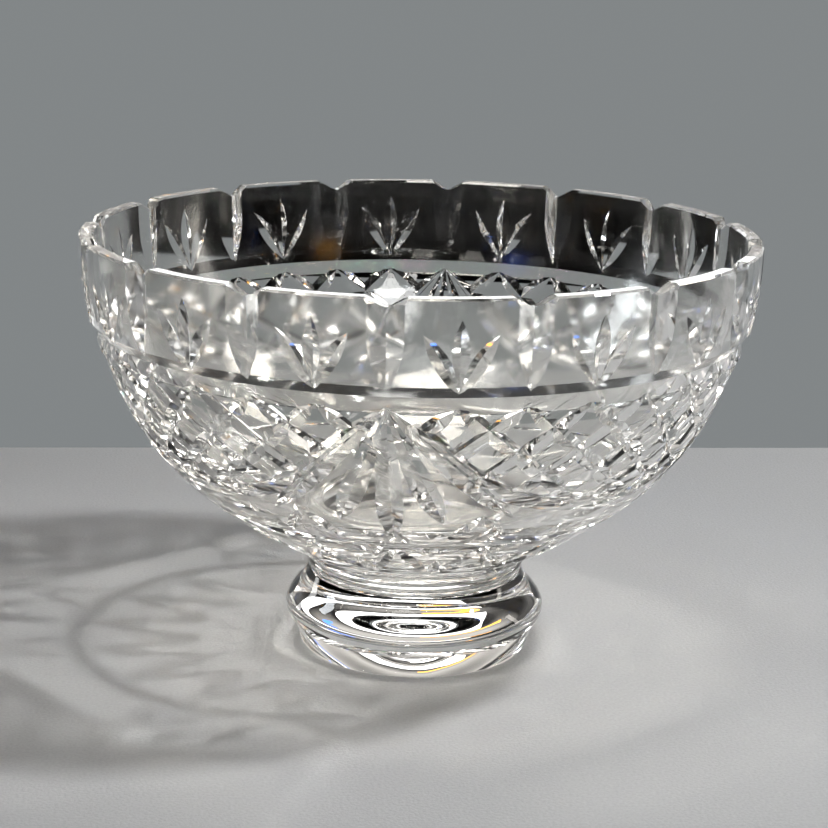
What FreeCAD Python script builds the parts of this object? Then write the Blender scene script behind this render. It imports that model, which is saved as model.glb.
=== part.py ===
import FreeCAD
import Part

import math
import os

# Footed punch bowl of heavy cut crystal, in millimetres.
# Own frame: the middle of the foot's underside is the origin and +Z is up.
# A rim notch and the middle of a cut fan face -Y. The pattern repeats every 90 degrees.

# ---- Driving dimensions -------------------------------------------------------------
rim_radius = 150.0
total_height = 191.0
rim_wall = 6.4
rim_edge_bevel = 0.9

# Foot, collar and bowl meet on flat joints.
foot_top_height = 36.0
collar_top_height = 43.0
joint_radius = 48.6
collar_groove_radius = 47.65
collar_bead_radius = 49.0
foot_bulge_radius = 58.8
foot_bulge_height = 19.0
foot_groove_radius = 52.2
foot_groove_height = 12.6
foot_ring_radius = 53.4
foot_ring_height = 10.4
foot_rest_outer = 50.0
foot_rest_inner = 41.0
foot_hollow_depth = 4.0

# Upper wall: slightly tapered, closed below by a bevel and a plain polished band.
wall_foot_height = 155.5
wall_foot_radius = 146.9
wall_middle_radius = 149.3
bevel_foot_height = 150.6
bevel_foot_radius = 143.2
band_foot_height = 144.0
band_foot_radius = 142.8

# Body from the band down to the collar, as (radius, height).
body_curve = [
    (142.4, 143.4),
    (135.2, 126.0),
    (128.1, 111.0),
    (118.0, 96.0),
    (103.9, 81.0),
    (84.6, 66.0),
    (62.5, 52.0),
    (52.6, 46.0),
    (joint_radius, collar_top_height),
]

# Inside of the bowl, as (radius, height). The wall thickens towards the bottom.
inside_curve = [
    (rim_radius - rim_wall, total_height - rim_edge_bevel),
    (142.4, 173.0),
    (139.3, 158.0),
    (135.0, 145.0),
    (122.6, 118.0),
    (102.0, 92.0),
    (68.0, 70.5),
    (30.0, 62.0),
    (0.0, 60.5),
]

# Cut pattern. Distances are measured down the wall from the rim.
notch_count = 16
notch_half_width = 8.4
notch_depth = 4.7
notch_bottom_radius = 3.2
flute_depth = 3.65
flute_half_angle = 64.8
flute_straight_length = 18.0
flute_length = 39.0
leaf_half_angle = 55.0
leaf_base = 39.8
leaf_middle_tip = 8.5
leaf_side_tip = 14.6
leaf_side_spread = 5.7
leaf_depth = 2.5

fan_count = 4
fan_top = 46.0
fan_half_angle = 57.0
# Each fan ray as (end angle, end distance, greatest depth, sideways bow in degrees).
fan_rays = [(0.0, 125.0, 3.8, 0.0), (10.8, 110.5, 3.5, 0.6), (25.5, 108.5, 3.1, 1.2)]
# Swag between two fans, as (angle from the fan, distance down the wall).
swag_path = [
    (0.0, 46.0),
    (4.3, 56.0),
    (8.6, 66.0),
    (13.0, 76.5),
    (17.5, 86.0),
    (23.5, 93.5),
    (30.0, 99.0),
    (37.5, 102.8),
    (45.0, 104.0),
]
swag_depth = 2.9

diamond_pitch = 11.25
diamond_rows = [46.6, 59.0, 71.0, 82.5, 93.0, 102.0]
diamond_depth = 2.35
diamond_half_angle = 58.0

# Small peaks between the outer rays of a fan, as the two end angles of each pair of cuts.
peak_angle = 18.6
peak_top = 105.0
peak_end = 127.0
peak_end_angles = [11.6, 26.1]
peak_depth = 2.0

lower_ring_distance = 131.0
lower_ring_depth = 1.4
petal_top = 134.0
petal_end = 170.0
petal_lean = 9.0
petal_depth = 2.1
petal_half_angle = 56.0
middle_petal_top = 148.0
middle_petal_end = 174.0
middle_petal_depth = 1.7

os.makedirs("parts", exist_ok=True)
up = FreeCAD.Vector(0, 0, 1)
centre = FreeCAD.Vector(0, 0, 0)


def section_point(radius, height):
    return FreeCAD.Vector(radius, 0, height)


def line(first, second):
    return Part.LineSegment(section_point(*first), section_point(*second)).toShape()


def arc(first, middle, last):
    points = [section_point(*p) for p in (first, middle, last)]
    return Part.Arc(*points).toShape()


def smooth(points):
    curve = Part.BSplineCurve()
    curve.interpolate([section_point(*p) for p in points])
    return curve.toShape()


def turned(edges, angle=360.0):
    """The solid made by turning a closed section about the axis."""
    face = Part.Face(Part.Wire(edges))
    return face.revolve(centre, up, angle)


# ---- Outside of the bowl ------------------------------------------------------------
rim_outer = (rim_radius, total_height - rim_edge_bevel)
wall_middle = (wall_middle_radius, 0.5 * (total_height + wall_foot_height))
wall_foot = (wall_foot_radius, wall_foot_height)
bevel_foot = (bevel_foot_radius, bevel_foot_height)
band_foot = (band_foot_radius, band_foot_height)
outside_edges = [
    line((rim_radius - rim_edge_bevel, total_height), rim_outer),
    arc(rim_outer, wall_middle, wall_foot),
    line(wall_foot, bevel_foot),
    line(bevel_foot, band_foot),
    line(band_foot, body_curve[0]),
    smooth(body_curve),
]


def on_outside(angle, distance):
    """Point, outward normal and downward tangent on the outside wall."""
    left = distance
    for edge in outside_edges:
        if left <= edge.Length or edge is outside_edges[-1]:
            break
        left -= edge.Length
    at = edge.getParameterByLength(min(left, edge.Length))
    point = edge.valueAt(at)
    down = edge.tangentAt(at)
    if down.z > 0:
        down = down.negative()
    normal = FreeCAD.Vector(-down.z, 0, down.x)
    spin = FreeCAD.Rotation(up, angle - 90.0)
    return spin.multVec(point), spin.multVec(normal), spin.multVec(down)


def v_cut(path, depths, half_angle, cover=2.0):
    """A cutter like a mitre wheel run along a path of (angle, distance) points."""
    stations = [on_outside(*step) for step in path]
    slope = math.tan(math.radians(half_angle))
    sections = []
    for i, (point, normal, _) in enumerate(stations):
        before = stations[max(i - 1, 0)][0]
        after = stations[min(i + 1, len(stations) - 1)][0]
        along = (after - before).normalize()
        across = along.cross(normal).normalize()
        crease = point - normal * depths[i]
        height = depths[i] + cover
        left = crease + normal * height + across * (height * slope)
        right = crease + normal * height - across * (height * slope)
        sections.append(Part.makePolygon([crease, left, right, crease]))
    return Part.makeLoft(sections, True, True)


def leaf_cut(start, end, depth, half_angle, fullest=0.5, bow=0.0, steps=6):
    """A leaf-shaped cut, pointed at both ends and deepest at the fraction fullest."""
    path = []
    depths = []
    for i in range(steps + 1):
        t = i / steps
        angle = start[0] + (end[0] - start[0]) * t - bow * 4 * t * (1 - t)
        path.append((angle, start[1] + (end[1] - start[1]) * t))
        if t < fullest:
            share = t / fullest
        else:
            share = (1 - t) / (1 - fullest)
        depths.append(depth * share * (2 - share) - 0.05)
    return v_cut(path, depths, half_angle)


def around(shape, angle):
    copy = shape.copy()
    copy.rotate(centre, up, angle)
    return copy


# ---- One eighth of the bowl, from the middle of a fan to the middle of a swag -------
inside_edge = smooth(inside_curve)
rim_inner = (rim_radius - rim_wall + rim_edge_bevel, total_height)
blank_edges = outside_edges + [
    line(body_curve[-1], (0.0, collar_top_height)),
    line((0.0, collar_top_height), inside_curve[-1]),
    inside_edge,
    line(inside_curve[0], rim_inner),
    line(rim_inner, (rim_radius - rim_edge_bevel, total_height)),
]
eighth = turned(blank_edges, 45.0)
eighth.rotate(centre, up, -90.0)

# Rim: a notch and a flute every 22.5 degrees, and a sprig of three leaves between them.
# The notch is a V with a rounded bottom, cut straight through the wall.
notch_slope = math.atan(notch_depth / notch_half_width)
notch_top = total_height + 2.0
notch_side = notch_half_width * (notch_depth + 2.0) / notch_depth
round_middle = total_height - notch_depth + notch_bottom_radius / math.cos(notch_slope)
round_side = notch_bottom_radius * math.sin(notch_slope)
round_top = round_middle - notch_bottom_radius * math.cos(notch_slope)


def notch_point(across, height):
    return FreeCAD.Vector(across, -rim_radius - 10, height)


left_top = notch_point(-notch_side, notch_top)
left_round = notch_point(-round_side, round_top)
bottom = notch_point(0, round_middle - notch_bottom_radius)
right_round = notch_point(round_side, round_top)
right_top = notch_point(notch_side, notch_top)
notch_wire = Part.Wire(
    [
        Part.LineSegment(left_top, left_round).toShape(),
        Part.Arc(left_round, bottom, right_round).toShape(),
        Part.LineSegment(right_round, right_top).toShape(),
        Part.LineSegment(right_top, left_top).toShape(),
    ]
)
notch = Part.Face(notch_wire).extrude(FreeCAD.Vector(0, 30, 0))

# The flute runs down at full depth, then shallows out just above the bevel.
flute_path = [(0, 0)]
flute_depths = [flute_depth]
for step in range(4):
    fade = 1 - step / 3
    flute_path.append((0, flute_length - fade * (flute_length - flute_straight_length)))
    flute_depths.append(flute_depth * fade * (1.75 - 0.75 * fade) - 0.02)
flute = v_cut(flute_path, flute_depths, flute_half_angle)

half_pitch = 180.0 / notch_count
leaf_foot = (half_pitch, leaf_base)
leaf_tips = [
    (half_pitch - leaf_side_spread, leaf_side_tip),
    (half_pitch, leaf_middle_tip),
    (half_pitch + leaf_side_spread, leaf_side_tip),
]
sprig = [leaf_cut(tip, leaf_foot, leaf_depth, leaf_half_angle, 0.44) for tip in leaf_tips]

cutters = []
for n in range(3):
    for cutter in [notch, flute]:
        cutters.append(around(cutter, n * 2 * half_pitch))
for n in range(2):
    for cutter in sprig:
        cutters.append(around(cutter, n * 2 * half_pitch))

# Fan rays, spreading from a point in the plain band.
for end_angle, end_distance, depth, bow in fan_rays:
    end = (end_angle, end_distance)
    cutters.append(leaf_cut((0, fan_top), end, depth, fan_half_angle, 0.66, bow, 8))

# Swag, from this fan past the middle of the gap.
swag_run = swag_path + [(90 - a, d) for a, d in reversed(swag_path[-3:-1])]
swag_depths = [-0.05] + [swag_depth] * (len(swag_run) - 1)
cutters.append(v_cut(swag_run, swag_depths, fan_half_angle))


def swag_distance(angle):
    """How far down the wall the swag lies at an angle from its fan."""
    for (near_angle, near), (far_angle, far) in zip(swag_path, swag_path[1:]):
        if near_angle <= angle <= far_angle:
            return near + (far - near) * (angle - near_angle) / (far_angle - near_angle)
    return swag_path[-1][1]


# Two crossing families of grooves leave flat diamonds between band and swag.
for top in range(1, 8):
    for turn in (-1, 1):
        path = []
        depths = []
        for row, distance in enumerate(diamond_rows):
            angle = (top + turn * row / 2) * diamond_pitch
            if distance > swag_distance(min(angle, 90 - angle)) + 1:
                break
            path.append((angle, distance))
            depths.append(diamond_depth if row else -0.05)
            if row == 0:
                path.append((angle + turn * diamond_pitch / 4, 0.5 * sum(diamond_rows[:2])))
                depths.append(diamond_depth)
        if len(path) > 2 and min(a for a, _ in path) < 45:
            cutters.append(v_cut(path, depths, diamond_half_angle))

# Below the swags: the small peaks, a fine ring, then petals spreading down to the collar.
for end_angle in peak_end_angles:
    start = (peak_angle, peak_top)
    end = (end_angle, peak_end)
    cutters.append(leaf_cut(start, end, peak_depth, leaf_half_angle))
ring_path = [(a, lower_ring_distance) for a in range(-10, 61, 5)]
cutters.append(v_cut(ring_path, [lower_ring_depth] * len(ring_path), 62.0))
for n in range(3):
    for lean in (-petal_lean, petal_lean):
        start = (n * 2 * half_pitch, petal_top)
        end = (n * 2 * half_pitch + lean, petal_end)
        cutters.append(leaf_cut(start, end, petal_depth, petal_half_angle, 0.45))
for n in range(2):
    start = ((2 * n + 1) * half_pitch, middle_petal_top)
    end = ((2 * n + 1) * half_pitch, middle_petal_end)
    cutters.append(leaf_cut(start, end, middle_petal_depth, petal_half_angle))

# Eight such parts, every second one mirrored, make the whole bowl.
solids = eighth.cut(cutters).Solids
eighth = max(solids, key=lambda solid: solid.Volume)
mirrored = eighth.mirror(centre, FreeCAD.Vector(1, 0, 0))
eighths = []
for n in range(fan_count):
    eighths.append(around(eighth, n * 90.0))
    eighths.append(around(mirrored, n * 90.0))
bowl = eighths[0].multiFuse(eighths[1:]).removeSplitter().Solids[0]
bowl.exportStep("parts/bowl.step")

# ---- Collar: a short polished neck with a bead between two grooves ------------------
bead_height = 0.5 * (foot_top_height + collar_top_height)
bead_edge = 0.5 * (collar_groove_radius + collar_bead_radius)
collar = turned(
    [
        line((0.0, foot_top_height), (joint_radius, foot_top_height)),
        arc(
            (joint_radius, foot_top_height),
            (collar_groove_radius, foot_top_height + 1.2),
            (bead_edge, foot_top_height + 2.2),
        ),
        arc(
            (bead_edge, foot_top_height + 2.2),
            (collar_bead_radius, bead_height),
            (bead_edge, collar_top_height - 2.2),
        ),
        arc(
            (bead_edge, collar_top_height - 2.2),
            (collar_groove_radius, collar_top_height - 1.2),
            (joint_radius, collar_top_height),
        ),
        line((joint_radius, collar_top_height), (0.0, collar_top_height)),
        line((0.0, collar_top_height), (0.0, foot_top_height)),
    ]
)
collar.exportStep("parts/collar.step")

# ---- Foot: a solid smooth bulge, a groove and a flat ring to stand on ---------------
foot_flank = [
    (joint_radius, foot_top_height),
    (50.2, 33.0),
    (54.6, 27.5),
    (foot_bulge_radius, foot_bulge_height),
    (57.6, 14.6),
]
hollow_ball_radius = 0.5 * (foot_rest_inner**2 / foot_hollow_depth + foot_hollow_depth)
hollow_middle_drop = hollow_ball_radius - (hollow_ball_radius**2 - foot_rest_inner**2 / 4) ** 0.5
hollow_middle_height = foot_hollow_depth - hollow_middle_drop
foot = turned(
    [
        smooth(foot_flank),
        line(foot_flank[-1], (foot_groove_radius, foot_groove_height)),
        line((foot_groove_radius, foot_groove_height), (foot_ring_radius, foot_ring_height)),
        arc(
            (foot_ring_radius, foot_ring_height),
            (foot_ring_radius - 0.5, 0.5 * foot_ring_height),
            (foot_rest_outer + 1.0, 0.7),
        ),
        line((foot_rest_outer + 1.0, 0.7), (foot_rest_outer, 0.0)),
        line((foot_rest_outer, 0.0), (foot_rest_inner, 0.0)),
        arc(
            (foot_rest_inner, 0.0),
            (0.5 * foot_rest_inner, hollow_middle_height),
            (0.0, foot_hollow_depth),
        ),
        line((0.0, foot_hollow_depth), (0.0, foot_top_height)),
        line((0.0, foot_top_height), (joint_radius, foot_top_height)),
    ]
)
foot.exportStep("parts/foot.step")
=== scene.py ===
import math

import bpy
import numpy as np
from mathutils import Matrix, Vector


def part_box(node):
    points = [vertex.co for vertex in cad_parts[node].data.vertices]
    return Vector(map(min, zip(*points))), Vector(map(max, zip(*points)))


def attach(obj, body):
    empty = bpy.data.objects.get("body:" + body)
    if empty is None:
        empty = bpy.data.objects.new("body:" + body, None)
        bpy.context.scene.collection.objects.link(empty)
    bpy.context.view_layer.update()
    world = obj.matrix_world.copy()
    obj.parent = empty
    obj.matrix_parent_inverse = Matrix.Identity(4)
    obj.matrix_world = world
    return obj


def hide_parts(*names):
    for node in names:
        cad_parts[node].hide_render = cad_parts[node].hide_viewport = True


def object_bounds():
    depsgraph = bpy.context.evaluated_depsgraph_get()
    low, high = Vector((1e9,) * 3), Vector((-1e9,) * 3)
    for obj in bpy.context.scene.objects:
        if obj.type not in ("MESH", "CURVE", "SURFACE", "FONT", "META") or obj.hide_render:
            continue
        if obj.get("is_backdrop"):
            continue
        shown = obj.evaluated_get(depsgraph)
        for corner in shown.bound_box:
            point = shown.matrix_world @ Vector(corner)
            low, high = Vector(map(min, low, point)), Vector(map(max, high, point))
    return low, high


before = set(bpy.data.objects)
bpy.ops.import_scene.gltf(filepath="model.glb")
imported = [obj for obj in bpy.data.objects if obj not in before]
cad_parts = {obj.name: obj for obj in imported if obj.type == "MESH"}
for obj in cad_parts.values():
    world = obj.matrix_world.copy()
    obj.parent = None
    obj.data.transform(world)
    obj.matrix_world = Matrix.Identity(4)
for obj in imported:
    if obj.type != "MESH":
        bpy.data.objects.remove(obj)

low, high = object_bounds()

# ---- Sizes, in millimetres above the foot's underside and out from the axis ----------
TOP = 191.0
MM = (high[2] - low[2]) / TOP  # one millimetre in the scene's units
RIM = 150.0
WALL = 6.4
BEVEL = 0.9
COLLAR_TOP = (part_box("collar")[1][2] - low[2]) / MM
FOOT_TOP = (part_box("foot")[1][2] - low[2]) / MM
JOINT = 48.6

# Outline corners of the bowl, as (radius, height).
WALL_MIDDLE_RADIUS = 149.3
WALL_FOOT = (146.9, 155.5)
BEVEL_FOOT = (143.2, 150.6)
BAND_FOOT = (142.8, 144.0)
BODY = [
    (142.4, 143.4),
    (135.2, 126.0),
    (128.1, 111.0),
    (118.0, 96.0),
    (103.9, 81.0),
    (84.6, 66.0),
    (62.5, 52.0),
    (52.6, 46.0),
    (JOINT, COLLAR_TOP),
]
INSIDE = [
    (0.0, 60.5),
    (30.0, 62.0),
    (68.0, 70.5),
    (102.0, 92.0),
    (122.6, 118.0),
    (135.0, 145.0),
    (139.3, 158.0),
    (142.4, 173.0),
    (RIM - WALL, TOP - BEVEL),
]

# Cut pattern. Distances are measured down the outside from the rim, angles from -Y.
NOTCHES = 16
FANS = 4
QUARTER = 360.0 / FANS
HALF_PITCH = 180.0 / NOTCHES
NOTCH_WIDTH, NOTCH_DEPTH, NOTCH_ROUND = 8.4, 4.7, 3.2
FLUTE_DEPTH, FLUTE_HALF_ANGLE = 3.65, 64.8
FLUTE_EVEN, FLUTE_END = 18.0, 39.0
SPRIG_TOP, SPRIG_FOOT = (HALF_PITCH, 8.5), (HALF_PITCH, 39.8)
LEAF_HALF_ANGLE, PETAL_HALF_ANGLE = 55, 56
FAN_FOOT = (0, 46)
FAN_HALF_ANGLE = 57
SWAG_ANGLES = [0.0, 4.3, 8.6, 13.0, 17.5, 23.5, 30.0, 37.5, 45.0]
SWAG_DISTANCES = [46.0, 56.0, 66.0, 76.5, 86.0, 93.5, 99.0, 102.8, 104.0]
SWAG_DEPTH, SWAG_EASE = 2.9, 1.5
DIAMOND_ROWS = [46.6, 59.0, 71.0, 82.5, 93.0, 102.0]
DIAMOND_DEPTH, DIAMOND_HALF_ANGLE = 2.35, 58
PEAK_ANGLE, PEAK_TOP, PEAK_END = 18.6, 105.0, 127.0
RING_DISTANCE = 131.0
WORN_ABOVE = 146.0

# Cuts begin and end a little above the surface. Everything turned has SIDES sides.
LIFT, LEAF_LIFT = 0.02, 0.03
SIDES = 288
TURNS = (np.arange(SIDES) + 0.5) * 2 * math.pi / SIDES


# ---- Outline pieces: each returns points (radius, height) and outward normals --------
def with_normals(points):
    step = np.gradient(points, axis=0)
    step /= np.linalg.norm(step, axis=1)[:, None]
    return points, np.stack([-step[:, 1], step[:, 0]], axis=1)


def straight(a, b, count=2):
    share = np.linspace(0, 1, count)[:, None]
    return with_normals(np.array(a) + (np.array(b) - np.array(a)) * share)


def arc(a, b, c, count):
    """A circular arc from a to c through b."""
    (ax, ay), (bx, by), (cx, cy) = a, b, c
    d = 2 * (ax * (by - cy) + bx * (cy - ay) + cx * (ay - by))
    squares = [x * x + y * y for x, y in (a, b, c)]
    ux = (squares[0] * (by - cy) + squares[1] * (cy - ay) + squares[2] * (ay - by)) / d
    uy = (squares[0] * (cx - bx) + squares[1] * (ax - cx) + squares[2] * (bx - ax)) / d
    angles = np.unwrap([math.atan2(y - uy, x - ux) for x, y in (a, b, c)])
    t = np.linspace(angles[0], angles[-1], count)
    radius = math.hypot(ax - ux, ay - uy)
    points = np.stack([ux + radius * np.cos(t), uy + radius * np.sin(t)], axis=1)
    normals = np.stack([np.cos(t), np.sin(t)], axis=1)
    along = np.array(c) - np.array(a)
    if np.dot(normals[count // 2], [-along[1], along[0]]) < 0:
        normals = -normals
    return points, normals


def lengths(points):
    """The distance travelled along a line of points, at each point."""
    steps = np.linalg.norm(np.diff(points, axis=0), axis=1)
    return np.concatenate([[0], np.cumsum(np.maximum(steps, 1e-9))])


def smooth(points, count):
    """A natural cubic spline through the points, by distance along them."""
    p = np.array(points, float)
    t = lengths(p)
    h = np.diff(t)
    n = len(p)
    matrix = np.eye(n)
    right = np.zeros((n, 2))
    for i in range(1, n - 1):
        matrix[i, i - 1 : i + 2] = [h[i - 1], 2 * (h[i - 1] + h[i]), h[i]]
        right[i] = 6 * ((p[i + 1] - p[i]) / h[i] - (p[i] - p[i - 1]) / h[i - 1])
    bend = np.linalg.solve(matrix, right)
    at = np.linspace(0, t[-1], count)
    i = np.clip(np.searchsorted(t, at, side="right") - 1, 0, n - 2)
    left = (t[i + 1] - at)[:, None]
    gone = (at - t[i])[:, None]
    span = h[i][:, None]
    curve = (
        bend[i] * left**3 / (6 * span)
        + bend[i + 1] * gone**3 / (6 * span)
        + (p[i] / span - bend[i] * span / 6) * left
        + (p[i + 1] / span - bend[i + 1] * span / 6) * gone
    )
    return with_normals(curve)


# ---- Meshes --------------------------------------------------------------------------
def facing_out(verts, faces):
    """The faces of a closed shape, turned round if they face inwards."""
    volume = 0.0
    for face in faces:
        for k in range(1, len(face) - 1):
            volume += np.dot(verts[face[0]], np.cross(verts[face[k]], verts[face[k + 1]]))
    return [tuple(reversed(face)) for face in faces] if volume < 0 else faces


def make_mesh(verts, faces, name):
    """A mesh from millimetres in the row frame, in scene units."""
    mesh = bpy.data.meshes.new(name)
    places = np.asarray(verts, float) * MM + np.array([0, 0, low[2]])
    mesh.from_pydata(places.tolist(), [], faces)
    return mesh


def make_object(data, name):
    """A new object in the scene that holds a mesh, a lamp or a camera."""
    made = bpy.data.objects.new(name, data)
    bpy.context.scene.collection.objects.link(made)
    return made


def turned(sections, name):
    """A closed solid of revolution from outline sections that start and end on the axis."""
    outline = [sections[0][0][0]]
    for points, _ in sections:
        for point in points:
            if np.linalg.norm(point - outline[-1]) > 1e-6:
                outline.append(point)
    if np.linalg.norm(outline[0] - outline[-1]) < 1e-6:
        outline.pop()
    verts = []
    rings = []
    for radius, height in outline:
        if radius < 1e-6:
            rings.append([len(verts)] * SIDES)
            verts.append((0, 0, height))
        else:
            rings.append(list(range(len(verts), len(verts) + SIDES)))
            ring = np.stack([radius * np.cos(TURNS), radius * np.sin(TURNS)], axis=1)
            verts.extend((x, y, height) for x, y in ring)
    faces = []
    for k in range(len(rings)):
        upper, lower = rings[k], rings[(k + 1) % len(rings)]
        if upper[0] == upper[-1] and lower[0] == lower[-1]:
            continue
        for i in range(SIDES):
            j = (i + 1) % SIDES
            corners = [upper[i], lower[i], lower[j], upper[j]]
            faces.append(tuple(c for n, c in enumerate(corners) if c != corners[n - 1]))
    return make_mesh(verts, facing_out(np.array(verts, float), faces), name)


# ---- Outside of the bowl, from the rim down to the collar ----------------------------
band = straight(BEVEL_FOOT, BAND_FOOT, 3)
outside = [
    straight((RIM - BEVEL, TOP), (RIM, TOP - BEVEL)),
    arc((RIM, TOP - BEVEL), (WALL_MIDDLE_RADIUS, 0.5 * (TOP + WALL_FOOT[1])), WALL_FOOT, 16),
    straight(WALL_FOOT, BEVEL_FOOT, 3),
    band,
    straight(BAND_FOOT, BODY[0]),
    smooth(BODY, 72),
]
trail = np.concatenate([points for points, _ in outside])
trail_normals = np.concatenate([normals for _, normals in outside])
trail_length = lengths(trail)


def on_outside(angles, distances):
    """Points and outward normals on the outside wall, at distances down from the rim."""
    angles = np.radians(np.asarray(angles, float) - 90)
    radius, height, nr, nz = (
        np.interp(distances, trail_length, column)
        for column in (trail[:, 0], trail[:, 1], trail_normals[:, 0], trail_normals[:, 1])
    )
    size = np.hypot(nr, nz)
    nr, nz = nr / size, nz / size
    c, s = np.cos(angles), np.sin(angles)
    return (
        np.stack([radius * c, radius * s, height], axis=1),
        np.stack([nr * c, nr * s, nz], axis=1),
    )


# ---- Cutters, as (verts, faces): V grooves like a mitre wheel's, run along the outside
def v_cut(angles, distances, depths, half_angle, cover=1.5):
    """A closed V-shaped cutter along a path on the wall."""
    points, normals = on_outside(angles, distances)
    along = np.gradient(points, axis=0)
    across = np.cross(along, normals)
    across /= np.linalg.norm(across, axis=1)[:, None]
    depths = np.asarray(depths, float)[:, None]
    reach = depths + cover
    spread = reach * math.tan(math.radians(half_angle))
    crease = points - normals * depths
    left = crease + normals * reach + across * spread
    right = crease + normals * reach - across * spread
    verts = np.stack([crease, left, right], axis=1).reshape(-1, 3)
    faces = [(0, 1, 2)]
    end = 3 * (len(points) - 1)
    for a in range(0, end, 3):
        for k in range(3):
            m = (k + 1) % 3
            faces.append((a + k, a + 3 + k, a + 3 + m, a + m))
    faces.append((end + 2, end + 1, end))
    return verts, faces


def leaf(start, end, depth, half_angle, fullest=0.5, bow=0.0, count=21):
    """A leaf-shaped cut, pointed at both ends, which are (angle, distance).

    fullest is where it is deepest, and bow bends its path sideways, in degrees.
    """
    t = np.linspace(0, 1, count)
    angles = start[0] + (end[0] - start[0]) * t - bow * 4 * t * (1 - t)
    distances = start[1] + (end[1] - start[1]) * t
    share = np.where(t < fullest, t / fullest, (1 - t) / (1 - fullest))
    return v_cut(angles, distances, depth * share * (2 - share) - LEAF_LIFT, half_angle)


def ring_cut(distance, depth, half_angle, cover=1.5):
    """A V groove all the way round at one distance down the wall."""
    points, normals = on_outside([90.0], [distance])
    point, normal = points[0, [0, 2]], normals[0, [0, 2]]
    across = np.array([-normal[1], normal[0]])
    reach = depth + cover
    spread = reach * math.tan(math.radians(half_angle))
    crease = point - normal * depth
    corners = [
        crease,
        crease + normal * reach + across * spread,
        crease + normal * reach - across * spread,
    ]
    verts = [(r * math.cos(t), r * math.sin(t), z) for r, z in corners for t in TURNS]
    faces = []
    for k in range(3):
        a, b = k * SIDES, (k + 1) % 3 * SIDES
        for i in range(SIDES):
            j = (i + 1) % SIDES
            faces.append((a + i, a + j, b + j, b + i))
    return np.array(verts), faces


def rim_notch():
    """A V with a rounded bottom, as a bar that lies across the wall at -Y."""
    lean = math.atan(NOTCH_DEPTH / NOTCH_WIDTH)
    outline = [(-2 * NOTCH_WIDTH, TOP + NOTCH_DEPTH)]
    for k in range(-6, 7):
        angle = lean * k / 6
        drop = NOTCH_ROUND * (1 / math.cos(lean) - math.cos(angle))
        outline.append((NOTCH_ROUND * math.sin(angle), TOP - NOTCH_DEPTH + drop))
    outline.append((2 * NOTCH_WIDTH, TOP + NOTCH_DEPTH))
    outer, inner = -RIM - 8, -RIM + 14
    count = len(outline)
    verts = [(x, y, z) for y in (outer, inner) for x, z in outline]
    faces = [tuple(range(count)), tuple(reversed(range(count, 2 * count)))]
    faces += [(i, i + count, (i + 1) % count + count, (i + 1) % count) for i in range(count)]
    return np.array(verts, float), faces


def rim_flute():
    """A straight flute under a notch, even at first, that fades out above the bevel."""
    down = np.array([-1.0, 3, 8, 13, 17, 20, 23, 26, 29, 32, 35, 37.5, 39.5])
    share = np.clip((FLUTE_END - down) / (FLUTE_END - FLUTE_EVEN), 0, 1)
    depths = FLUTE_DEPTH * share * (1.75 - 0.75 * share) - LIFT
    return v_cut(down * 0, down, depths, FLUTE_HALF_ANGLE)


def swag_distance(angles):
    """How far down the swag's groove lies, with its bends eased."""
    half = QUARTER / 2
    folded = half - np.abs(np.mod(angles, QUARTER) - half)
    shifts = (0, -SWAG_EASE, SWAG_EASE)
    return sum(np.interp(folded + shift, SWAG_ANGLES, SWAG_DISTANCES) for shift in shifts) / 3


def swag():
    """The groove that hangs from one fan's foot to the next."""
    run = np.linspace(0, QUARTER, 61)
    depths = SWAG_DEPTH * np.clip(np.minimum(run, QUARTER - run) / 6.0, 0, 1) - LIFT
    return v_cut(run, swag_distance(run), depths, FAN_HALF_ANGLE)


def diamond_grooves(side, past_swag=0.8, fewest=4):
    """The grooves between band and swag that lean to one side, in one quarter.

    Each starts at a corner of the top row and runs down until it meets the swag or
    leaves the quarter. One with fewer points than fewest is left out.
    """
    grooves = []
    fine = np.linspace(0, len(DIAMOND_ROWS) - 1, 41)
    distances = np.interp(fine, range(len(DIAMOND_ROWS)), DIAMOND_ROWS)
    for start in range(1, 8):
        angles = (start + side * fine / 2) * HALF_PITCH
        in_quarter = (angles > 0) & (angles < QUARTER)
        keep = in_quarter & (distances < swag_distance(angles) + past_swag)
        stop = len(fine) if keep.all() else int(np.argmin(keep))
        if stop < fewest:
            continue
        fade = np.clip((distances - DIAMOND_ROWS[0]) / 6.0, 0, 1) ** 0.8
        depths = DIAMOND_DEPTH * fade - LIFT
        grooves.append(v_cut(angles[:stop], distances[:stop], depths[:stop], DIAMOND_HALF_ANGLE))
    return grooves


def turn(cutter, degrees):
    """The cutter, turned about the bowl's axis."""
    verts, faces = cutter
    c, s = math.cos(math.radians(degrees)), math.sin(math.radians(degrees))
    return verts @ np.array([[c, s, 0], [-s, c, 0], [0, 0, 1]]), faces


def repeated(cutter, count):
    """The cutter at even turns all the way round."""
    return [turn(cutter, k * 360.0 / count) for k in range(count)]


def merged(cutters):
    """One mesh from cutters that don't touch each other."""
    verts = []
    faces = []
    for points, loops in cutters:
        faces.extend(tuple(v + len(verts) for v in face) for face in facing_out(points, loops))
        verts.extend(points.tolist())
    return make_mesh(verts, faces, "cutter")


def cut_away(piece, groups):
    """Takes each group of cutters from the piece, one group after the other."""
    for group in groups:
        cutter = make_object(merged(group), "cutter")
        change = piece.modifiers.new("cut", "BOOLEAN")
        change.operation = "DIFFERENCE"
        change.solver = "MANIFOLD"
        change.object = cutter
        graph = bpy.context.evaluated_depsgraph_get()
        graph.update()
        result = bpy.data.meshes.new_from_object(piece.evaluated_get(graph), depsgraph=graph)
        piece.modifiers.clear()
        old = piece.data
        piece.data = result
        bpy.data.meshes.remove(old)
        bpy.data.objects.remove(cutter)


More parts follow.
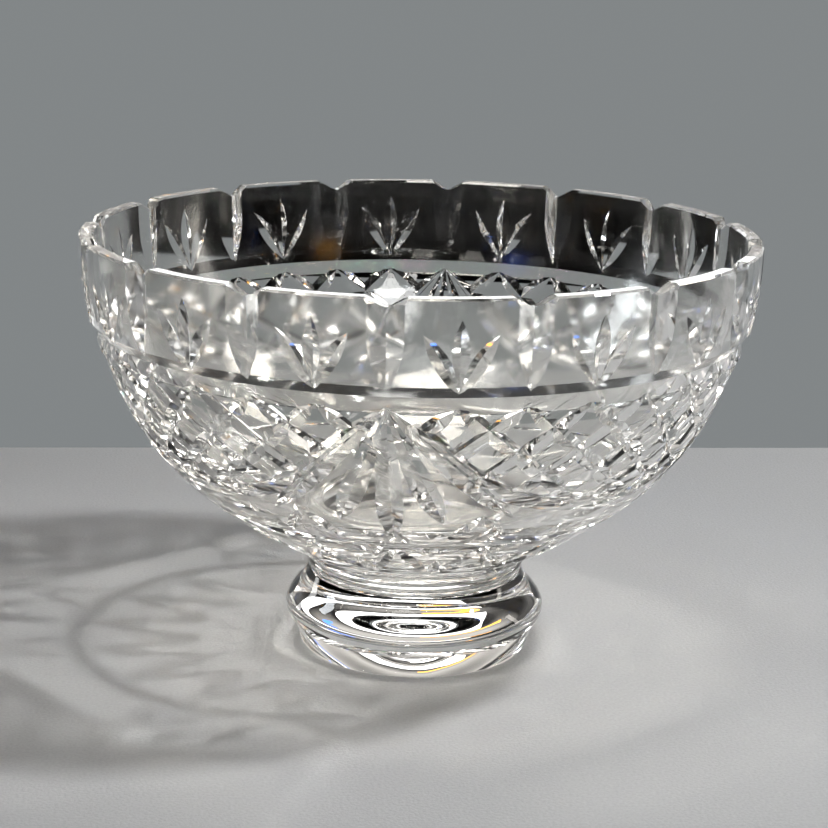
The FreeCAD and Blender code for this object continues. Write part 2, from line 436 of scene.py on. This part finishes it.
# ---- Normals -------------------------------------------------------------------------
def read(items, name, width=1, kind=float):
    """One property of every item, with a row for each item where it has several values."""
    values = np.empty(len(items) * width, kind)
    items.foreach_get(name, values)
    return values.reshape(-1, width) if width > 1 else values


def in_outline(places):
    """Radius and height, in millimetres, of places in the scene."""
    return np.stack([np.hypot(places[:, 0], places[:, 1]), places[:, 2] - low[2]], axis=1) / MM


def nearest_on(line, spots):
    """For each spot, its gap to the line and how far along the line that is."""
    travelled = lengths(line)
    nearest = np.full(len(spots), 1e9)
    along = np.zeros(len(spots))
    for k in range(len(line) - 1):
        edge = line[k + 1] - line[k]
        share = np.clip(((spots - line[k]) @ edge) / (edge @ edge), 0, 1)
        gap = np.linalg.norm(spots - line[k] - share[:, None] * edge, axis=1)
        closer = gap < nearest
        nearest[closer] = gap[closer]
        along[closer] = travelled[k] + share[closer] * (travelled[k + 1] - travelled[k])
    return nearest, along


def polish(piece, sections, limit=14.0, blend=7.0, uncut=0.06):
    """Sharp edges between cuts, and the true curve's normals on what wasn't cut.

    Edges sharper than limit degrees stay sharp, and a true normal is used where the face
    is within blend degrees of it. Returns each face's section of the outline, or -1
    where its middle is more than uncut millimetres from the outline.
    """
    mesh = piece.data
    mesh.polygons.foreach_set("use_smooth", [True] * len(mesh.polygons))
    mesh.set_sharp_from_angle(angle=math.radians(limit))
    coords = read(mesh.vertices, "co", 3)
    face_normals = read(mesh.polygons, "normal", 3)
    starts = read(mesh.polygons, "loop_start", kind=int)
    totals = read(mesh.polygons, "loop_total", kind=int)
    loop_vertex = read(mesh.loops, "vertex_index", kind=int)
    custom = np.zeros((len(mesh.loops), 3))
    centres = in_outline(read(mesh.polygons, "center", 3))
    best = np.full(len(centres), 1e9)
    chosen = np.zeros(len(centres), int)
    for n, (points, _) in enumerate(sections):
        gap, _ = nearest_on(points, centres)
        closer = gap < best
        best[closer], chosen[closer] = gap[closer], n
    chosen[best >= uncut] = -1
    for n, (points, normals) in enumerate(sections):
        faces = np.nonzero(chosen == n)[0]
        if not len(faces):
            continue
        loops = np.concatenate([np.arange(starts[f], starts[f] + totals[f]) for f in faces])
        owner = np.repeat(faces, totals[faces])
        places = coords[loop_vertex[loops]]
        _, along = nearest_on(points, in_outline(places))
        travelled = lengths(points)
        nr = np.interp(along, travelled, normals[:, 0])
        nz = np.interp(along, travelled, normals[:, 1])
        angle = np.arctan2(places[:, 1], places[:, 0])
        true = np.stack([nr * np.cos(angle), nr * np.sin(angle), nz], axis=1)
        true /= np.linalg.norm(true, axis=1)[:, None]
        agrees = np.einsum("ij,ij->i", true, face_normals[owner]) > math.cos(math.radians(blend))
        custom[loops[agrees]] = true[agrees]
    mesh.normals_split_custom_set(custom.tolist())
    return chosen


# ---- Bowl ----------------------------------------------------------------------------
inside_wall = smooth(INSIDE, 60)
bowl_sections = outside + [
    straight((JOINT, COLLAR_TOP), (0.0, COLLAR_TOP)),
    inside_wall,
    straight((RIM - WALL, TOP - BEVEL), (RIM - WALL + BEVEL, TOP)),
    straight((RIM - WALL + BEVEL, TOP), (RIM - BEVEL, TOP)),
]
bowl = make_object(turned(bowl_sections, "bowl"), "cut_bowl")

# Rim: notches, a flute under each, and a sprig of three leaves between two flutes.
groups = [repeated(rim_notch(), NOTCHES), repeated(rim_flute(), NOTCHES)]
middle_leaf = leaf(SPRIG_TOP, SPRIG_FOOT, 2.55, LEAF_HALF_ANGLE, fullest=0.42)
groups.append(repeated(middle_leaf, NOTCHES))
for side in (-1, 1):
    tip = (HALF_PITCH + side * 5.7, 14.6)
    side_leaf = leaf(tip, SPRIG_FOOT, 2.5, LEAF_HALF_ANGLE, fullest=0.45, bow=side * 0.25)
    groups.append(repeated(side_leaf, NOTCHES))

# Fans: a long middle ray and two pairs of leaning ones.
middle_ray = leaf(FAN_FOOT, (0, 125), 3.8, FAN_HALF_ANGLE, fullest=0.66)
groups.append(repeated(middle_ray, FANS))
for side in (-1, 1):
    for end, depth, fullest, bow in (
        ((side * 10.8, 110.5), 3.5, 0.7, side * 0.6),
        ((side * 25.5, 108.5), 3.1, 0.62, side * 1.2),
    ):
        groups.append(repeated(leaf(FAN_FOOT, end, depth, FAN_HALF_ANGLE, fullest, bow), FANS))

# Swags, two at a time because neighbours touch, and the diamond field above them.
hanging = swag()
groups += [[turn(hanging, 0), turn(hanging, 180)], [turn(hanging, 90), turn(hanging, 270)]]
for side in (-1, 1):
    grooves = diamond_grooves(side)
    groups.append([turn(groove, QUARTER * k) for k in range(FANS) for groove in grooves])

# Peaks between the rays, petals down to the collar, and a fine ring.
for side in (-1, 1):
    middle = side * PEAK_ANGLE
    for lean in (-7.0, 7.5):
        peak = leaf((middle, PEAK_TOP), (middle + lean, PEAK_END), 2.0, LEAF_HALF_ANGLE)
        groups.append(repeated(peak, FANS))
for side in (-1, 1):
    petal = leaf((0, 134), (side * 9, 170), 2.1, PETAL_HALF_ANGLE, fullest=0.45)
    groups.append(repeated(petal, NOTCHES))
between = leaf((HALF_PITCH, 148), (HALF_PITCH, 174), 1.7, PETAL_HALF_ANGLE)
groups.append(repeated(between, NOTCHES))
groups.append([ring_cut(RING_DISTANCE, 1.4, 62)])

cut_away(bowl, groups)
bowl_faces = polish(bowl, bowl_sections)

# ---- Collar: a bead between two grooves ----------------------------------------------
GROOVE, BEAD, BEAD_EDGE = 47.65, 49.0, 48.32
GROOVE_DROP, BEAD_DROP = 1.2, 2.2
upper_edge, lower_edge = (BEAD_EDGE, COLLAR_TOP - BEAD_DROP), (BEAD_EDGE, FOOT_TOP + BEAD_DROP)
collar_sections = [
    straight((0.0, COLLAR_TOP), (JOINT, COLLAR_TOP)),
    arc((JOINT, COLLAR_TOP), (GROOVE, COLLAR_TOP - GROOVE_DROP), upper_edge, 7),
    arc(upper_edge, (BEAD, 0.5 * (FOOT_TOP + COLLAR_TOP)), lower_edge, 11),
    arc(lower_edge, (GROOVE, FOOT_TOP + GROOVE_DROP), (JOINT, FOOT_TOP), 7),
    straight((JOINT, FOOT_TOP), (0.0, FOOT_TOP)),
]
collar = make_object(turned(collar_sections, "collar"), "neck_collar")
polish(collar, collar_sections)

# ---- Foot: a smooth bulge, a groove, and a ring round a shallow hollow ---------------
BULGE = [(JOINT, FOOT_TOP), (50.2, 33.0), (54.6, 27.5), (58.8, 19.0), (57.6, 14.6)]
FOOT_GROOVE = (52.2, 12.6)
RING_TOP, RING_MIDDLE, RING_FOOT = (53.4, 10.4), (52.9, 5.2), (51.0, 0.7)
REST_OUTER, REST_INNER = (50.0, 0.0), (41.0, 0.0)
HOLLOW = 4.0
hollow_radius = 0.5 * (REST_INNER[0] ** 2 / HOLLOW + HOLLOW)
halfway = 0.5 * REST_INNER[0]
hollow_height = HOLLOW - hollow_radius + math.sqrt(hollow_radius**2 - halfway**2)
foot_sections = [
    straight((0.0, FOOT_TOP), (JOINT, FOOT_TOP)),
    smooth(BULGE, 40),
    straight(BULGE[-1], FOOT_GROOVE, 3),
    straight(FOOT_GROOVE, RING_TOP, 3),
    arc(RING_TOP, RING_MIDDLE, RING_FOOT, 14),
    straight(RING_FOOT, REST_OUTER),
    straight(REST_OUTER, REST_INNER, 3),
    arc(REST_INNER, (halfway, hollow_height), (0.0, HOLLOW), 20),
]
foot = make_object(turned(foot_sections, "foot"), "solid_foot")
polish(foot, foot_sections)


# ---- Materials -----------------------------------------------------------------------
def blank_material(name):
    """A new material with its nodes, the links between them, and its shader."""
    material = bpy.data.materials.new(name)
    material.use_nodes = True
    nodes, links = material.node_tree.nodes, material.node_tree.links
    return material, nodes, links, nodes["Principled BSDF"]


def surface_material(name, kind, **values):
    """A new material that is one shader of the given kind."""
    material, nodes, links, _ = blank_material(name)
    nodes.clear()
    shader = add_node(nodes, kind, **values)
    output = nodes.new("ShaderNodeOutputMaterial")
    links.new(shader.outputs[0], output.inputs["Surface"])
    return material


def add_node(nodes, kind, **values):
    """A new node, with the inputs named; an underscore stands for a space."""
    node = nodes.new("ShaderNode" + kind)
    set_inputs(node, **values)
    return node


def set_inputs(node, **values):
    for name, value in values.items():
        node.inputs[name.replace("_", " ")].default_value = value


def crystal(name, roughness=0.0, spread=0.0, film=False):
    """Clear lead crystal with the slight waviness of hand polishing.

    spread makes the roughness vary, and film adds a faint play of colours, as a prism
    edge shows.
    """
    material, nodes, links, shader = blank_material(name)
    set_inputs(shader, Base_Color=(0.99, 0.985, 0.96, 1), IOR=1.545)
    set_inputs(shader, Transmission_Weight=1.0, Roughness=roughness)
    place = nodes.new("ShaderNodeTexCoord")
    noise = add_node(nodes, "TexNoise", Scale=45.0, Detail=2.0)
    bump = add_node(nodes, "Bump", Strength=0.05, Distance=0.001)
    links.new(place.outputs["Object"], noise.inputs["Vector"])
    links.new(noise.outputs["Fac"], bump.inputs["Height"])
    links.new(bump.outputs["Normal"], shader.inputs["Normal"])
    if spread:
        wear = add_node(nodes, "TexNoise", Scale=22.0, Detail=5.0)
        share = add_node(nodes, "MapRange", To_Min=roughness - spread, To_Max=roughness + spread)
        links.new(place.outputs["Object"], wear.inputs["Vector"])
        links.new(wear.outputs["Fac"], share.inputs["Value"])
        links.new(share.outputs["Result"], shader.inputs["Roughness"])
    if film:
        set_inputs(shader, Thin_Film_IOR=1.75)
        patches = add_node(nodes, "TexNoise", Scale=60.0)
        nanometres = add_node(nodes, "MapRange", To_Min=350.0, To_Max=900.0)
        links.new(place.outputs["Object"], patches.inputs["Vector"])
        links.new(patches.outputs["Fac"], nanometres.inputs["Value"])
        links.new(nanometres.outputs["Result"], shader.inputs["Thin Film Thickness"])
    return material


def table_material():
    """A grey cloth with a fine grain."""
    material, nodes, links, shader = blank_material("table")
    set_inputs(shader, Roughness=0.75, Specular_IOR_Level=0.2)
    place = nodes.new("ShaderNodeTexCoord")
    grain = add_node(nodes, "TexNoise", Scale=700.0, Detail=4.0)
    ramp = nodes.new("ShaderNodeValToRGB")
    ramp.color_ramp.elements[0].color = (0.36, 0.365, 0.37, 1)
    ramp.color_ramp.elements[1].color = (0.50, 0.505, 0.51, 1)
    bump = add_node(nodes, "Bump", Strength=0.5, Distance=0.0006)
    links.new(place.outputs["Object"], grain.inputs["Vector"])
    links.new(grain.outputs["Fac"], ramp.inputs["Fac"])
    links.new(ramp.outputs["Color"], shader.inputs["Base Color"])
    links.new(grain.outputs["Fac"], bump.inputs["Height"])
    links.new(bump.outputs["Normal"], shader.inputs["Normal"])
    return material


# Where two fused pieces meet there is no surface, so light passes straight on.
fused = surface_material("fused_joint", "BsdfTransparent")
for piece, name, heights in (
    (bowl, "bowl_crystal", [COLLAR_TOP]),
    (collar, "collar_crystal", [COLLAR_TOP, FOOT_TOP]),
    (foot, "foot_crystal", [FOOT_TOP]),
):
    piece.data.materials.clear()
    piece.data.materials.append(crystal(name))
    piece.data.materials.append(fused)
    joints = np.array(heights) * MM + low[2]
    for polygon in piece.data.polygons:
        at_joint = np.abs(joints - polygon.center.z).min() < 1e-5
        level = abs(polygon.normal.z) > 0.999
        polygon.material_index = 1 if at_joint and level else 0
    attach(piece, "root")

# The inside has a slight satin from use, a little stronger on its upper wall.
bowl.data.materials.append(crystal("inside_crystal", 0.10, 0.025))
bowl.data.materials.append(crystal("band_crystal", film=True))
bowl.data.materials.append(crystal("inside_low_crystal", 0.04, 0.01))
WORN, BAND, WORN_LITTLE = 2, 3, 4
worn_from = low[2] + WORN_ABOVE * MM
for polygon, section in zip(bowl.data.polygons, bowl_faces):
    if section >= 0 and bowl_sections[section] is inside_wall:
        polygon.material_index = WORN if polygon.center.z > worn_from else WORN_LITTLE
    elif section >= 0 and bowl_sections[section] is band:
        polygon.material_index = BAND

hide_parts("bowl")
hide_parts("collar")
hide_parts("foot")


# ---- Studio, in metres ---------------------------------------------------------------
def flat(name, size_x, size_y):
    """A level rectangle round its own middle."""
    x, y = size_x / 2, size_y / 2
    mesh = bpy.data.meshes.new(name)
    mesh.from_pydata([(-x, -y, 0), (x, -y, 0), (x, y, 0), (-x, y, 0)], [], [(0, 1, 2, 3)])
    return make_object(mesh, name)


def aimed(thing, place, aim):
    """Puts a thing at a place and turns its front to the aim."""
    thing.location = place
    look = Vector(aim) - Vector(place)
    thing.rotation_euler = look.to_track_quat("-Z", "Y").to_euler()


def card(name, size_x, size_y, place, aim, glow, colour=(1, 1, 1)):
    """A bright or black card that only the glass sees."""
    made = flat(name, size_x, size_y)
    glowing = surface_material(name, "Emission", Color=(*colour, 1), Strength=glow)
    made.data.materials.append(glowing)
    made.visible_camera = False
    made.visible_diffuse = False
    made.visible_shadow = False
    aimed(made, place, aim)
    made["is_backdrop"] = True
    return made


def lamp(name, size_x, size_y, place, aim, power):
    """A rectangular lamp, in watts."""
    data = bpy.data.lights.new(name, "AREA")
    data.shape = "RECTANGLE"
    data.size, data.size_y = size_x, size_y
    data.energy = power
    aimed(make_object(data, name), place, aim)


# The table's far edge runs level across the view, a third of a metre behind the bowl.
TABLE_EDGE, TABLE_WIDTH, TABLE_DEPTH = 0.333, 5.0, 2.4
table = flat("table", TABLE_WIDTH, TABLE_DEPTH)
table_turn = math.radians(9.3)
table_middle = TABLE_EDGE - TABLE_DEPTH / 2
table.rotation_euler = (0, 0, table_turn)
table.location = (
    -math.sin(table_turn) * table_middle,
    math.cos(table_turn) * table_middle,
    low[2],
)
table.data.materials.append(table_material())
table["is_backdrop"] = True

# The key is small, so the glass throws clear arcs of its light on the table.
HEART = (0.0, 0.0, 0.1)
lamp("key", 0.14, 0.14, (0.84, 0.0, 1.25), (0, 0, 0.05), 17)
lamp("top", 1.0, 0.6, (-0.25, -0.25, 1.6), HEART, 5)

# Black cards darken the far rim and both sides, and bright ones light the cuts.
BLACK, WARM, COOL = (0, 0, 0), (1.0, 0.95, 0.88), (0.9, 0.95, 1.0)
card("flag_back", 0.38, 0.072, (0.0, 0.21, 0.164), (0.0, 0.0, 0.164), 0.0, BLACK)
card("flag_left", 0.55, 0.30, (-0.62, -0.05, 0.20), (0.0, -0.05, 0.20), 0.0, BLACK)
card("flag_right", 0.55, 0.30, (0.66, -0.15, 0.20), (0.0, -0.15, 0.20), 0.0, BLACK)
card("box_right", 0.35, 0.35, (0.9, 0.5, 0.95), HEART, 16.0, WARM)
card("box_left", 0.2, 0.8, (-1.2, 0.1, 0.55), HEART, 11.0, COOL)
card("box_front", 0.5, 0.35, (0.4, -1.3, 1.3), HEART, 12.0)
card("box_top", 0.4, 0.4, (-0.1, 0.1, 1.3), HEART, 16.0, WARM)
card("box_back", 0.9, 0.12, (0.1, 0.9, 0.42), HEART, 3.0)
card("low_right", 0.12, 0.5, (1.0, 0.25, 0.30), HEART, 5.0, WARM)
card("low_left", 0.12, 0.5, (-0.9, 0.45, 0.28), HEART, 5.0)

# Small coloured cards, seen only through the cuts, stand for the glints of heavy lead glass.
BLUE, AMBER = (0.08, 0.25, 1.0), (1.0, 0.45, 0.06)
glints = [
    card("glint_blue", 0.12, 0.12, (-0.55, -0.75, 0.62), HEART, 10.0, BLUE),
    card("glint_amber", 0.12, 0.12, (0.62, -0.60, 0.50), HEART, 10.0, AMBER),
    card("glint_amber_low", 0.30, 0.02, (-0.25, 0.9, 0.30), HEART, 4.0, AMBER),
    card("glint_blue_low", 0.30, 0.02, (0.35, 0.85, 0.26), HEART, 3.0, BLUE),
]
for glint in glints:
    glint.visible_glossy = False

# A dim room: a pale band just above the horizon, dark overhead, darker behind the camera.
world = bpy.data.worlds.new("studio")
bpy.context.scene.world = world
world.use_nodes = True
nodes, links = world.node_tree.nodes, world.node_tree.links
direction = nodes.new("ShaderNodeTexCoord")
split = nodes.new("ShaderNodeSeparateXYZ")
height_ramp = nodes.new("ShaderNodeValToRGB")
elements = height_ramp.color_ramp.elements
elements[0].position, elements[0].color = 0.0, (0.225, 0.24, 0.245, 1)
elements[1].position, elements[1].color = 0.8, (0.02, 0.02, 0.02, 1)
for position, grey in ((0.06, 0.34), (0.22, 0.78), (0.34, 0.03)):
    elements.new(position).color = (1.04 * grey, grey, 0.95 * grey, 1)
depth_share = add_node(nodes, "MapRange", From_Min=-0.6, From_Max=0.3, To_Min=0.3, To_Max=1.0)
links.new(direction.outputs["Generated"], split.inputs["Vector"])
links.new(split.outputs["Z"], height_ramp.inputs["Fac"])
links.new(split.outputs["Y"], depth_share.inputs["Value"])
links.new(height_ramp.outputs["Color"], nodes["Background"].inputs["Color"])
links.new(depth_share.outputs["Result"], nodes["Background"].inputs["Strength"])

# ---- Camera, placed from the bowl's axis and rim -------------------------------------
camera = make_object(bpy.data.cameras.new("camera"), "camera")
bpy.context.scene.camera = camera
camera.data.lens = 100.4
camera.data.sensor_width = 36.0
azimuth, yaw, pitch, roll = (math.radians(angle) for angle in (5.01, 0.10, 14.49, 1.14))
reach, above_rim = 1008.0 * MM, 176.7 * MM
eye = (reach * math.sin(azimuth), -reach * math.cos(azimuth), high[2] + above_rim)
camera.matrix_world = (
    Matrix.Translation(eye)
    @ Matrix.Rotation(azimuth + yaw, 4, "Z")
    @ Matrix.Rotation(math.radians(90) - pitch, 4, "X")
    @ Matrix.Rotation(roll, 4, "Z")
)

# ---- How light is followed: many bounces, and the light that glass throws is kept -----
scene = bpy.context.scene
scene.cycles.max_bounces = 32
scene.cycles.transmission_bounces = 32
scene.cycles.glossy_bounces = 12
scene.cycles.diffuse_bounces = 3
scene.cycles.transparent_max_bounces = 24
scene.cycles.use_denoising = True
scene.cycles.sample_clamp_indirect = 60.0
scene.cycles.blur_glossy = 0.0
scene.cycles.use_guiding = True
scene.view_settings.view_transform = "Standard"

low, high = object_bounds()
